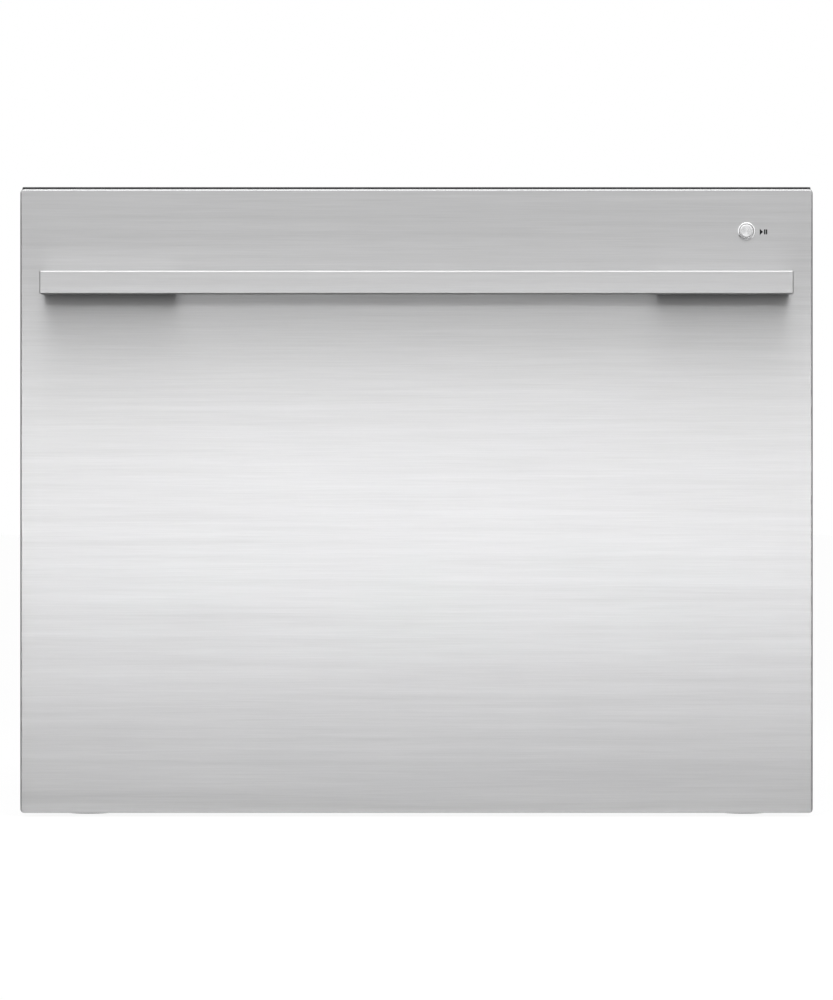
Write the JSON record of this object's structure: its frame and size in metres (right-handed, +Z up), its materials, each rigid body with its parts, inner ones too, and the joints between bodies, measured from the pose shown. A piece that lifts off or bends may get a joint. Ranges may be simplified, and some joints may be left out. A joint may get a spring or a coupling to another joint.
{
  "type": "dishwasher drawer",
  "caption": "Pull-out dishwasher drawer with a brushed-steel front and bar handle, a tub on telescopic rails, a lifting lid, racks and spray arm.",
  "frame": {"origin": "on the floor, below the middle of the bounding box from the handle's face to the chassis' back", "axes": "+X to the right seen from the front, +Y from the front to the back, +Z up"},
  "size_m": [0.599, 0.616, 0.4762],
  "materials": {
    "brushed_steel": "satin, horizontal brush lines",
    "polished_steel": "polished",
    "zinc_sheet": "satin zinc-coated sheet",
    "rail_steel": "smooth zinc plate",
    "dark_plastic": "fine moulded texture",
    "tub_plastic": "smooth moulded",
    "white_plastic": "smooth moulded",
    "coated_wire": "thick vinyl coating over wire",
    "black_rubber": "matte",
    "grey_rubber": "matte",
    "felt": "needled felt",
    "blue_plastic": "smooth moulded"
  },
  "bodies": {
    "chassis": {"base_tray": "zinc_sheet", "side_panel_left": "zinc_sheet", "side_panel_right": "zinc_sheet", "top_panel": "zinc_sheet", "rear_panel": "zinc_sheet", "front_trim_seal": "black_rubber", "inlet_valve": "white_plastic", "drain_outlet": "dark_plastic", "mains_inlet": "dark_plastic", "outer_rail_left": "rail_steel", "outer_rail_right": "rail_steel", "lid_actuator_left": "dark_plastic", "lid_actuator_right": "dark_plastic"},
    "drawer": {"front_skin": "brushed_steel", "panel_top_cap": "dark_plastic", "sound_pad": "felt", "front_inner_plate": "zinc_sheet", "control_module": "dark_plastic", "button_ring": "polished_steel", "handle_bar": "brushed_steel", "handle_mount_left": "brushed_steel", "handle_mount_right": "brushed_steel", "tub": "tub_plastic", "drawer_bracket_left": "zinc_sheet", "drawer_bracket_right": "zinc_sheet", "inner_rail_left": "rail_steel", "inner_rail_right": "rail_steel", "pump_motor": "dark_plastic", "heater_ring": "polished_steel", "filter_plate": "polished_steel", "drain_pump": "dark_plastic", "electronics_module": "dark_plastic", "detergent_dispenser": "white_plastic"},
    "start_button": {"start_button": "polished_steel"},
    "middle_rail_left": {"middle_rail_left": "rail_steel"},
    "middle_rail_right": {"middle_rail_right": "rail_steel"},
    "hose_link_rear": {"hose_link_rear": "dark_plastic"},
    "hose_link_front": {"hose_link_front": "dark_plastic"},
    "lid": {"lid_panel": "tub_plastic", "lid_seal": "grey_rubber"},
    "lid_screw_left": {"lid_screw_left": "rail_steel"},
    "lid_screw_right": {"lid_screw_right": "rail_steel"},
    "pump_rotor": {"pump_rotor": "white_plastic"},
    "spray_arm": {"spray_arm": "white_plastic"},
    "drain_filter": {"drain_filter": "blue_plastic"},
    "dispenser_door": {"dispenser_door": "tub_plastic"},
    "rinse_aid_cap": {"rinse_aid_cap": "blue_plastic"},
    "rack": {"rack_basket": "coated_wire", "rack_side_left": "coated_wire", "rack_side_right": "coated_wire", "cutlery_basket": "tub_plastic"},
    "tine_row_front": {"tine_row_front": "coated_wire"},
    "tine_row_middle": {"tine_row_middle": "coated_wire"},
    "tine_row_back": {"tine_row_back": "coated_wire"},
    "cup_shelf_left": {"cup_shelf_left": "coated_wire"},
    "cup_shelf_right": {"cup_shelf_right": "coated_wire"},
    "foot_front_left": {"foot_front_left": "dark_plastic"},
    "foot_front_right": {"foot_front_right": "dark_plastic"},
    "foot_rear_left": {"foot_rear_left": "dark_plastic"},
    "foot_rear_right": {"foot_rear_right": "dark_plastic"}
  },
  "joints": [
    {"name": "drawer_slide", "type": "slide", "parent": "chassis", "child": "drawer", "axis": [0, -1, 0], "range_m": [0, 0.48]},
    {"name": "middle_rail_left_slide", "type": "slide", "parent": "chassis", "child": "middle_rail_left", "axis": [0, -1, 0], "range_m": [0, 0.241]},
    {"name": "middle_rail_right_slide", "type": "slide", "parent": "chassis", "child": "middle_rail_right", "axis": [0, -1, 0], "range_m": [0, 0.241]},
    {"name": "hose_link_rear_swing", "type": "hinge", "parent": "chassis", "child": "hose_link_rear", "pos_m": [0.125, 0.27, 0.024], "axis": [0, 0, 1], "range_deg": [0, 73]},
    {"name": "hose_link_front_swing", "type": "hinge", "parent": "drawer", "child": "hose_link_front", "pos_m": [0.125, 0.222, 0.032], "axis": [0, 0, 1], "range_deg": [-73, 0]},
    {"name": "start_press", "type": "slide", "parent": "drawer", "child": "start_button", "axis": [0, 1, 0], "range_m": [0, 0.0012], "stiffness_N_per_m": 600, "springref_m": -0.001},
    {"name": "lid_lift", "type": "slide", "parent": "chassis", "child": "lid", "axis": [0, 0, 1], "range_m": [0, 0.012]},
    {"name": "lid_screw_left_turn", "type": "hinge", "parent": "chassis", "child": "lid_screw_left", "pos_m": [-0.28775, 0.003, 0.376], "axis": [0, 0, 1], "range_deg": [0, 346]},
    {"name": "lid_screw_right_turn", "type": "hinge", "parent": "chassis", "child": "lid_screw_right", "pos_m": [0.28775, 0.003, 0.376], "axis": [0, 0, 1], "range_deg": [0, 346]},
    {"name": "pump_rotor_spin", "type": "hinge", "parent": "drawer", "child": "pump_rotor", "pos_m": [0, 0.003, 0.09], "axis": [0, 0, 1], "continuous": true},
    {"name": "spray_arm_spin", "type": "hinge", "parent": "drawer", "child": "spray_arm", "pos_m": [0, 0.003, 0.12], "axis": [0, 0, 1], "continuous": true},
    {"name": "drain_filter_twist", "type": "hinge", "parent": "drawer", "child": "drain_filter", "pos_m": [0.068, 0.003, 0.104], "axis": [0, 0, 1], "range_deg": [0, 45]},
    {"name": "dispenser_open", "type": "hinge", "parent": "drawer", "child": "dispenser_door", "pos_m": [0.064, -0.2051, 0.318], "axis": [-1, 0, 0], "range_deg": [0, 85]},
    {"name": "rinse_aid_cap_twist", "type": "hinge", "parent": "drawer", "child": "rinse_aid_cap", "pos_m": [0.13765, -0.2069, 0.351], "axis": [0, 1, 0], "range_deg": [0, 90]},
    {"name": "rack_lift", "type": "slide", "parent": "drawer", "child": "rack", "axis": [0, 0, 1], "range_m": [0, 0.08]},
    {"name": "tine_row_front_fold", "type": "hinge", "parent": "rack", "child": "tine_row_front", "pos_m": [-0.037, -0.0785, 0.157], "axis": [1, 0, 0], "range_deg": [0, 80]},
    {"name": "tine_row_middle_fold", "type": "hinge", "parent": "rack", "child": "tine_row_middle", "pos_m": [-0.037, 0.016, 0.157], "axis": [1, 0, 0], "range_deg": [0, 80]},
    {"name": "tine_row_back_fold", "type": "hinge", "parent": "rack", "child": "tine_row_back", "pos_m": [-0.037, 0.1105, 0.157], "axis": [1, 0, 0], "range_deg": [0, 80]},
    {"name": "cup_shelf_left_fold", "type": "hinge", "parent": "rack", "child": "cup_shelf_left", "pos_m": [-0.262, 0.016, 0.285], "axis": [0, -1, 0], "range_deg": [0, 85]},
    {"name": "cup_shelf_right_fold", "type": "hinge", "parent": "rack", "child": "cup_shelf_right", "pos_m": [0.262, 0.016, 0.285], "axis": [0, 1, 0], "range_deg": [0, 85]},
    {"name": "foot_front_left_adjust", "type": "slide", "parent": "chassis", "child": "foot_front_left", "axis": [0, 0, -1], "range_m": [0, 0.015]},
    {"name": "foot_front_right_adjust", "type": "slide", "parent": "chassis", "child": "foot_front_right", "axis": [0, 0, -1], "range_m": [0, 0.015]},
    {"name": "foot_rear_left_adjust", "type": "slide", "parent": "chassis", "child": "foot_rear_left", "axis": [0, 0, -1], "range_m": [0, 0.015]},
    {"name": "foot_rear_right_adjust", "type": "slide", "parent": "chassis", "child": "foot_rear_right", "axis": [0, 0, -1], "range_m": [0, 0.015]}
  ],
  "couplings": [
    {"joint": "middle_rail_left_slide", "follows": "drawer_slide", "ratio": 0.5},
    {"joint": "middle_rail_right_slide", "follows": "drawer_slide", "ratio": 0.5},
    {"joint": "hose_link_rear_swing", "follows": "drawer_slide", "rad_per_m": 2.647},
    {"joint": "hose_link_front_swing", "follows": "drawer_slide", "rad_per_m": -2.647},
    {"joint": "lid_screw_left_turn", "follows": "lid_lift", "rad_per_m": 502.65},
    {"joint": "lid_screw_right_turn", "follows": "lid_lift", "rad_per_m": 502.65}
  ]
}
